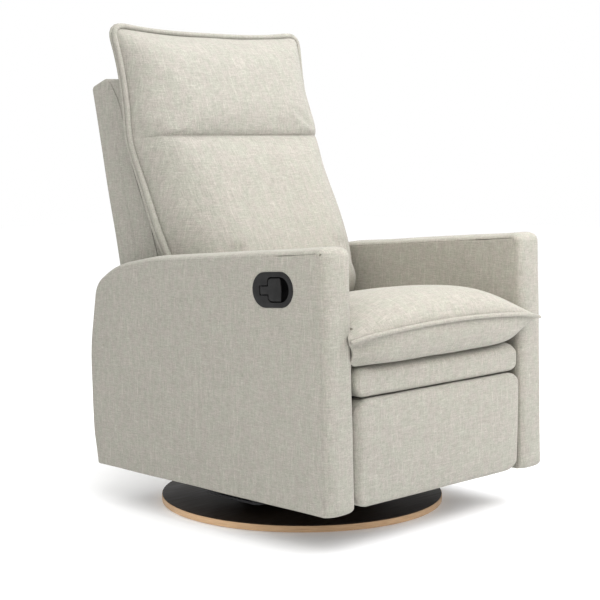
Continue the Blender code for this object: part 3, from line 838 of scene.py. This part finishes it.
# By height: half-width, the edge's y, how far the front stands before the edge, and the rear behind it.
PILLOW_WIDTH = [
    (0.44, 0.274), (0.5, 0.2775), (0.56, 0.279), (0.6, 0.285), (0.65, 0.291), (0.7, 0.293), (0.75, 0.2935),
    (0.8, 0.2955), (0.84, 0.2985), (0.87, 0.2995), (0.9, 0.2995), (0.93, 0.297), (0.96, 0.295),
    (1.02, 0.295), (1.05, 0.298), (1.08, 0.302), (1.094, 0.303), (1.102, 0.3), (1.107, 0.294),
]
PILLOW_EDGE = [
    (0.44, 0.116), (0.5, 0.125), (0.56, 0.144), (0.6, 0.1605), (0.65, 0.1835), (0.7, 0.2045), (0.75, 0.226),
    (0.8, 0.248), (0.84, 0.262), (0.87, 0.268), (0.9, 0.273), (0.93, 0.2785), (0.96, 0.286), (1.02, 0.3),
    (1.05, 0.3075), (1.08, 0.316), (1.098, 0.321), (1.107, 0.3235),
]
PILLOW_FRONT = [
    (0.44, 0.0), (0.446, 0.03), (0.46, 0.07), (0.48, 0.102), (0.5, 0.116), (0.58, 0.128), (0.64, 0.129),
    (0.72, 0.119), (0.8, 0.11), (0.838, 0.101), (0.854, 0.094), (0.8625, 0.087), (0.866, 0.082),
    (0.8695, 0.0865), (0.877, 0.092), (0.892, 0.093), (0.93, 0.087), (0.99, 0.076), (1.04, 0.065),
    (1.072, 0.052), (1.091, 0.034), (1.101, 0.017), (1.107, 0.002),
]
PILLOW_REAR = [
    (0.44, 0.0), (0.446, 0.03), (0.46, 0.05), (0.5, 0.07), (0.6, 0.074), (0.7, 0.055), (0.8, 0.039),
    (0.866, 0.04), (0.95, 0.044), (1.02, 0.04), (1.076, 0.03), (1.098, 0.016), (1.107, 0.002),
]


def pillow_rows():
    """Heights of the pillow's grid rows, closest together at the seam and the ends."""
    from_seam = np.array([0.001, 0.002, 0.0035, 0.0055, 0.008, 0.012])
    fine = PILLOW_SEAM + np.concatenate([-from_seam[::-1], [0.0], from_seam])
    low = np.concatenate([[0.44, 0.443, 0.447, 0.453], np.linspace(0.46, PILLOW_SEAM - 0.018, 42)])
    high = np.linspace(PILLOW_SEAM + 0.018, 1.089, 26)
    return np.concatenate([low, fine, high, [1.094, 1.098, 1.1015, 1.1045, PILLOW_TOP]])


def pillow_point(s, z, front):
    """A point of the pillow's skin. s runs from -1 to 1 across it, and z is its height in the tables."""
    width = along_table(z, PILLOW_WIDTH) - PIPING_OUT
    edge = along_table(z, PILLOW_EDGE)
    dome = 1 - np.abs(s) ** 8
    if front:
        y = edge - along_table(z, PILLOW_FRONT) * dome
    else:
        y = edge + along_table(z, PILLOW_REAR) * (1 - np.abs(s) ** 7)
    lift = 0.014 * np.abs(s) ** 3 * smoothstep(z, 0.97, PILLOW_TOP)
    dip = 0.0065 * np.exp(-((z - PILLOW_SEAM) / 0.022) ** 2) * smoothstep(np.abs(s), 0.84, 1.0)
    return np.stack([s * width, y, z + lift - dip], -1)


def pillow_border():
    """The line where the pillow's two skins are sewn together: up its right, over, and down its left."""
    up = [(-1.0, z) for z in np.concatenate([np.linspace(0.455, 0.84, 44), np.linspace(0.848, 1.099, 32)])]
    over = [(s, PILLOW_TOP) for s in np.linspace(-0.985, 0.985, 70)]
    down = [(-s, z) for s, z in reversed(up)]
    path = np.array([pillow_point(np.float64(s), np.float64(z), True) for s, z in up + over + down])
    for _ in range(3):
        path[1:-1] = 0.25 * path[:-2] + 0.5 * path[1:-1] + 0.25 * path[2:]
    return path


def pillow_faces(rows, columns):
    """Faces of the front and rear grids, and of the strip that joins them round their edge."""
    rear = rows * columns
    faces = grid_faces(rows, columns) + grid_faces(rows, columns, start=rear)
    edges = [(row * columns + j, row * columns + j + 1) for row in (0, rows - 1) for j in range(columns - 1)]
    edges += [(i * columns + column, (i + 1) * columns + column)
              for i in range(rows - 1) for column in (0, columns - 1)]
    return faces + [(a, b, rear + b, rear + a) for a, b in edges]


def gathers(s, z, across, rows):
    """Small tucks that draw the fabric into the headrest seam, deepest near its ends."""
    near_seam = np.exp(-np.abs(z - PILLOW_SEAM) / 0.014)
    tuck = np.array([[noise.noise(Vector((a * 22.0, 0.0, b * 9.0))) for a in across] for b in rows])
    return (0.0022 + 0.0026 * smoothstep(np.abs(s), 0.7, 0.92)) * near_seam * tuck


def make_pillow():
    rows = pillow_rows()
    across = 0.55 * np.sin(np.linspace(-pi / 2, pi / 2, 81)) + 0.45 * np.linspace(-1, 1, 81)
    s, z = np.meshgrid(across, rows)
    front = pillow_point(s, z, True)
    front[..., 1] += gathers(s, z, across, rows)
    rear = pillow_point(s, z, False)
    rear[..., 1] += 0.0006  # keeps the two skins from welding along their border
    vertices = np.concatenate([front.reshape(-1, 3), rear.reshape(-1, 3)])
    pillow = new_piece("back_pillow", vertices, pillow_faces(len(rows), len(across)))
    undulate(pillow, 0.0022, 0.12, 15.0)
    x, _, z = points_of(pillow.data).T
    border = along_table(z, PILLOW_WIDTH) - PIPING_OUT - np.abs(x) < 0.0015
    ends = (z < 0.45) | (z > PILLOW_TOP - 0.003)
    seam = np.abs(z - PILLOW_SEAM) < 0.0025
    settle(pillow, border | ends | seam, cap=0.008)
    upholster(pillow, "back", "back_pillow_lumbar", "back_pillow_head", fill=0.7)


def make_pillow_welt():
    """Piping round the pillow: a roll in front of its border and a lip behind, fuller lower down."""
    border = pillow_border()
    outward = border_outward(border)
    low = 1 - smoothstep(border[:, 2], 0.64, 0.84)
    roll_at, lip_at = border + outward * 0.0042, border + outward * 0.0062
    roll_at[:, 1] -= 0.001 + 0.0045 * low
    lip_at[:, 1] += 0.009 - 0.002 * low
    roll = tube("pillow_roll", roll_at, 0.0062 + 0.0018 * low, 12)
    lip = tube("pillow_lip", lip_at, 0.0046 + 0.0012 * low, 12)
    welt = joined("back_pillow_welt", roll, lip)
    upholster(welt, "back")


def border_outward(path):
    """Unit vectors in the XZ plane that point away from the pillow's middle, square to its border."""
    ahead = np.gradient(path, axis=0)
    side = np.stack([-ahead[:, 2], np.zeros(len(path)), ahead[:, 0]], 1)
    side /= np.linalg.norm(side, axis=1)[:, None]
    away = path - np.array([0.0, 0.0, 0.8])
    return side * np.sign((side * away).sum(1))[:, None]


# -------- back shell and rear panel

SHELL_TOP = 1.001
SHELL_REAR = 0.005  # the cover stands this far behind the plain shell
PIPING_GAP = 0.01  # from the pillow's border back to the shell's front below the headrest
# The groove's (y, z) path: from the middle of the shell's top, forward, and down beside its front.
SIDE_SEAM = [
    (0.396, 1.007), (0.3871, 1.0), (0.3683, 0.985), (0.3469, 0.9551), (0.335, 0.9276), (0.3262, 0.8963),
    (0.3118, 0.8494), (0.2941, 0.795), (0.2733, 0.75), (0.2499, 0.7), (0.2263, 0.6491), (0.2061, 0.5957),
    (0.188, 0.55),
]


def shell_outline():
    """The shell from the side. Below the headrest its sides run forward to the pillow's piping."""
    corners = [(*back_line(0.367, -SHELL_REAR), 0.01), (*back_line(0.983, -SHELL_REAR), 0.012),
               (*back_line(SHELL_TOP, 0.048), 0.012), (*back_line(0.998, SHELL_DEPTH), 0.012),
               (*back_line(0.91, SHELL_DEPTH), 0.06)]
    corners += [(float(along_table(z, PILLOW_EDGE)) + PIPING_GAP, z, 0.01)
                for z in (0.83, 0.75, 0.65, 0.56, 0.48)]
    corners += [(0.16, 0.445, 0.02), (*back_line(0.41, SHELL_DEPTH), 0.02),
                (*back_line(0.367, SHELL_DEPTH), 0.01)]
    return rounded(corners, steps=6)


def make_shell():
    core = (back_line(0.44, 0.07), back_line(0.93, 0.055))
    shell = slab("back_shell_cover", shell_outline(), core, (-SHELL_HALF_WIDTH, SHELL_HALF_WIDTH), side_on,
                 edge=weigh(0.006, 0.009, 0.006, 0.006), seam_depth=0.0, crown=weigh(0.0, 0.0, 0.004, 0.0),
                 crown_power=4.0, puff=(0.0025, 0.0025), puff_reach=0.03, band_steps=24, spacing=0.008)
    undulate(shell, 0.0012, 0.12, 21.0)
    cut_out(shell, [side_seam_cutter(side) for side in SIDES])
    upholster(shell, "back", "back_shell", "back_stile_left", "back_stile_right", "back_bottom_rail",
              "back_top_rail", fill=0.9)


def side_seam_cutter(side):
    """A fine groove down a side of the shell, where its side panel is sewn to its wrapped front."""
    x = SIDES[side] * (SHELL_HALF_WIDTH + 0.0003)
    return tube(f"seam_cutter_{side}", [(x, y, z) for y, z in SIDE_SEAM], 0.0019, 8)


def make_rear_panel():
    """The panel below the shell. It is thin, because the shell's lower edge swings down in front of it."""
    low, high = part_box("rear_panel")
    top = high.z + 0.008
    inner = low.y + 0.01
    corners = [(low.x, low.z), (high.x, low.z), (high.x, top), (low.x, top)]
    outline = rounded([(x, z, 0.006) for x, z in corners])
    panel = slab("rear_panel_cover", outline, ((-0.16, 0.22), (0.16, 0.22)), (inner, high.y), front_on,
                 edge=0.006, seam_depth=0.0, puff=(0.0, 0.003), spacing=0.012, band_steps=6)
    upholster(panel, "chassis", "rear_panel", fill=0.9)


# -------- footrest

CAP_STATIONS = [0, 0.0004, 0.0012, 0.0025, 0.0042, 0.006, 0.0078, 0.009, 0.01, 0.011, 0.012, 0.0135,
                0.016, 0.019, 0.023, 0.028]  # distances of the first sections from each end of a pad


def round_off(distance, radius):
    """How far a rounded end of this radius is drawn in, at a distance from its tip."""
    return radius - sqrt(max(0.0, radius ** 2 - max(0.0, radius - distance) ** 2))


def pad(name, low, high, front_radii, end_radius, plan_radius, crown, end_seam=None):
    """A padded block whose front and ends are rounded. front_radii are for its lower and upper front edges.

    end_radius rounds the ends as seen from the front, and plan_radius as seen from above. end_seam is the
    distance of an end cap's seam from the end.
    """
    rear, middle, half_height = high.y, (low.z + high.z) / 2, (high.z - low.z) / 2
    outline = rounded([(low.y, low.z, front_radii[0]), (rear, low.z, 0.005), (rear, high.z, 0.005),
                       (low.y, high.z, front_radii[1])], 8)
    section = spaced(outline, 0.009)
    forward = (rear - section[:, 0]) / (rear - low.y)
    up = (section[:, 1] - middle) / half_height
    stations = [low.x + d for d in CAP_STATIONS] + list(np.linspace(low.x + 0.038, high.x - 0.038, 44))
    stations += [high.x - d for d in reversed(CAP_STATIONS)]
    half = (high.x - low.x) / 2
    loops = []
    for x in stations:
        d = min(x - low.x, high.x - x)
        sunk = 0.0013 * exp(-((d - end_seam) / 0.0011) ** 2) if end_seam else 0.0
        stand = crown * (1 - abs(up) ** 3) * (1 - (1 - d / half) ** 8) * forward
        y = section[:, 0] + (round_off(d, plan_radius) + sunk) * forward - stand
        z = middle + (section[:, 1] - middle) * (1 - (round_off(d, end_radius) + sunk) / half_height)
        loops.append(np.column_stack([np.full(len(y), x), y, z]))
    return loft(name, loops)


def make_footrest():
    """The roll and panel. Their covers stand out towards each other, and keep room to fold."""
    low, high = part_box("roll_pad")
    roll = pad("footrest_roll_cover", low + Vector((0.002, 0.008, -0.0004)), high - Vector((0.008, 0, 0)),
               front_radii=(0.01, 0.023), end_radius=0.028, plan_radius=0.012, crown=0.003, end_seam=0.006)
    undulate(roll, 0.0008, 0.09, 27.0)
    upholster(roll, "footrest_roll", "roll_pad", fill=0.8)
    low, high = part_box("panel_pad")
    panel = pad("footrest_panel_cover", low, high + Vector((0, 0, 0.0006)),
                front_radii=(0.014, 0.01), end_radius=0.042, plan_radius=0.02, crown=0.006)
    undulate(panel, 0.0008, 0.11, 33.0)
    upholster(panel, "footrest_panel", "panel_pad", fill=0.85)


# -------- release handle

STEM_DROP = 0.001  # of the paddle's stem below its middle


def bevelled_plate(name, outlines, depths, bevel):
    """A plate in the handle's plane with rounded edges. The first outline is its outside."""
    low, high = sorted(depths)
    curve = bpy.data.curves.new(name, "CURVE")
    curve.dimensions = "2D"
    curve.fill_mode = "BOTH"
    for outline in outlines:
        spline = curve.splines.new("POLY")
        spline.points.add(len(outline) - 1)
        for point, (a, b) in zip(spline.points, outline):
            point.co = (a, b, 0, 1)
        spline.use_cyclic_u = True
    curve.extrude = (high - low) / 2 - bevel
    curve.bevel_depth = bevel
    curve.offset = -bevel
    curve.bevel_resolution = 3
    drawn = in_scene(name, curve)
    mesh = bpy.data.meshes.new_from_object(evaluated(drawn))
    bpy.data.objects.remove(drawn, do_unlink=True)
    mesh.transform(handle_matrix() @ Matrix.Translation((0, 0, (low + high) / 2)))
    clean(mesh, 2e-6)
    mesh.shade_smooth()
    mesh.set_sharp_from_angle(angle=radians(40))
    mesh.materials.clear()
    mesh.materials.append(PLASTIC)
    return in_scene(name, mesh)


def paddle_outline():
    """A stem towards the paddle's rear hinge, and a pad towards the front, whose edge bows out."""
    stem, half, rear, stem_end, front, bow = 0.0085, 0.024, 0.013, 0.0365, -0.0225, 0.003
    low, high = -stem - STEM_DROP, stem - STEM_DROP
    return rounded([
        (rear, low, 0.001), (stem_end, low, 0.002), (stem_end, high, 0.002), (rear, high, 0.001),
        (rear, half, 0.009), (front, half, 0.0012), (front - bow, 0.0, 0.06), (front, -half, 0.0012),
        (rear, -half, 0.009)], 5)


def opening_outline():
    """The bezel's opening: the paddle's shape with a round finger recess in front of it."""
    stem, half, rear, stem_end, corner, steps = 0.0105, 0.0266, 0.0152, 0.0398, 0.0024, 12
    low, high = -stem - STEM_DROP, stem - STEM_DROP
    square = rounded([(rear, low, 0.001), (stem_end, low, corner), (stem_end, high, corner),
                      (rear, high, 0.001), (rear, half, 0.0105), (-CUP_HALF_FLAT, half, 0.001),
                      (-CUP_HALF_FLAT, -half, 0.001), (rear, -half, 0.0105)], steps)
    per_corner = steps + 1
    turn = [pi / 2 + pi * k / 32 for k in range(33)]
    recess = [(-CUP_HALF_FLAT + half * cos(angle), half * sin(angle)) for angle in turn]
    return square[:5 * per_corner] + recess + square[7 * per_corner:]


def moulded(name, body, node, sharp, *pieces):
    """One plastic piece that stands for a CAD node, with its edges over an angle kept sharp."""
    whole = joined(name, *pieces)
    whole.data.set_sharp_from_angle(angle=radians(sharp))
    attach(whole, body)
    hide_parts(node)


def make_bezel():
    rim = stadium(-BEZEL_HALF_FLAT, BEZEL_HALF_FLAT, BEZEL_RADIUS, 32)
    plate = bevelled_plate("bezel_plate", [rim, opening_outline()], (BEZEL_FACE, 0.0012), 0.001)
    inner, floor = CUP_RADIUS - CUP_WALL, CUP_DEPTH - CUP_WALL
    wall = [(CUP_RADIUS - 0.003, CUP_DEPTH), (CUP_RADIUS, CUP_DEPTH - 0.003), (CUP_RADIUS, 0.0008),
            (inner, 0.0008), (inner, floor - 0.004), (inner - 0.0012, floor - 0.0012),
            (inner - 0.004, floor)]
    cup = loft("bezel_cup", [cup_loop(radius, depth) for radius, depth in wall], PLASTIC)
    cup.data.set_sharp_from_angle(angle=radians(35))
    moulded("handle_bezel_shell", "chassis", "handle_bezel", 35, plate, cup)


def make_paddle():
    plate = bevelled_plate("paddle_plate", [paddle_outline()], (-0.003, 0.0004), 0.0009)
    hinge_depth, hinge_a = PADDLE_PIVOT
    ends = in_handle_plane([(hinge_a, -0.0085), (hinge_a, 0.0085)], hinge_depth)
    path = [ends[0] + (ends[1] - ends[0]) * k / 6 for k in range(7)]
    knuckle = tube("paddle_knuckle", path, 0.0036, 20, material=PLASTIC)
    moulded("handle_paddle_shell", "handle", "handle_paddle", 40, plate, knuckle)


def soften_cad_edges():
    """Rounds the sharp edges of the CAD nodes that show, without changing their meshes."""
    widths = {"base_disc": 0.001, "base_top_plate": 0.0005}
    for name, width in widths.items():
        bevel = NODES[name].modifiers.new("soft_edge", "BEVEL")
        bevel.width = width
        bevel.segments = 2
        bevel.limit_method = "ANGLE"
        bevel.angle_limit = radians(50)


# -------- stage

def area_light(name, location, target, size, energy, colour=(1, 1, 1), spread=180):
    light = bpy.data.lights.new(name, "AREA")
    light.spread = radians(spread)
    light.shape = "SQUARE"
    light.size = size
    light.energy = energy
    light.color = colour
    lamp = in_scene(name, light)
    lamp.location = location
    lamp.rotation_euler = (Vector(target) - Vector(location)).to_track_quat("-Z", "Y").to_euler()
    lamp.visible_camera = False


def make_stage():
    look = Look("floor_look", 0.85, specular=0.2)
    speck = look.noise(look.position, 30.0, 3.0)
    look.colour(look.mix_colour(speck, (0.88, 0.88, 0.88), (0.91, 0.91, 0.91)))
    look.set("Emission Color", (1.0, 1.0, 1.0, 1.0))
    look.set("Emission Strength", 0.13)
    corners = [(-9, -9, 0), (9, -9, 0), (9, 9, 0), (-9, 9, 0)]
    new_piece("floor", corners, [(0, 1, 2, 3)], look.material)
    world = bpy.data.worlds.new("studio")
    world.use_nodes = True
    background = world.node_tree.nodes["Background"]
    background.inputs["Color"].default_value = (1.0, 1.0, 1.0, 1.0)
    bpy.context.scene.world = world
    area_light("key", (1.35, -1.55, 1.65), (0, -0.1, 0.6), 1.3, 37, (0.95, 0.96, 1.0))
    area_light("top", (0.1, -0.3, 2.9), (0, -0.1, 0.5), 1.6, 50)
    area_light("fill", (-1.7, -1.6, 2.3), (0, 0, 0.5), 1.6, 28)
    area_light("bounce", (-0.75, -1.35, 1.35), (0.28, -0.1, 0.5), 0.5, 0.55, (1.0, 0.88, 0.7),
               spread=40)
    bpy.context.scene.view_settings.view_transform = "Standard"


def make_camera():
    data = bpy.data.cameras.new("camera")
    data.lens, data.sensor_width = 92.508, 36.0
    camera = in_scene("camera", data)
    camera.location = (-2.58931, -2.56219, 0.88236)
    downward, heading = 0.110652, -0.78935
    camera.rotation_euler = (pi / 2 - downward, 0.0, heading)
    bpy.context.scene.camera = camera


make_camera()
make_stage()
finish_cad_nodes()
soften_cad_edges()
make_arms()
make_seat()
make_pillow()
make_pillow_welt()
make_shell()
make_rear_panel()
make_footrest()
make_bezel()
make_paddle()

bpy.context.view_layer.update()
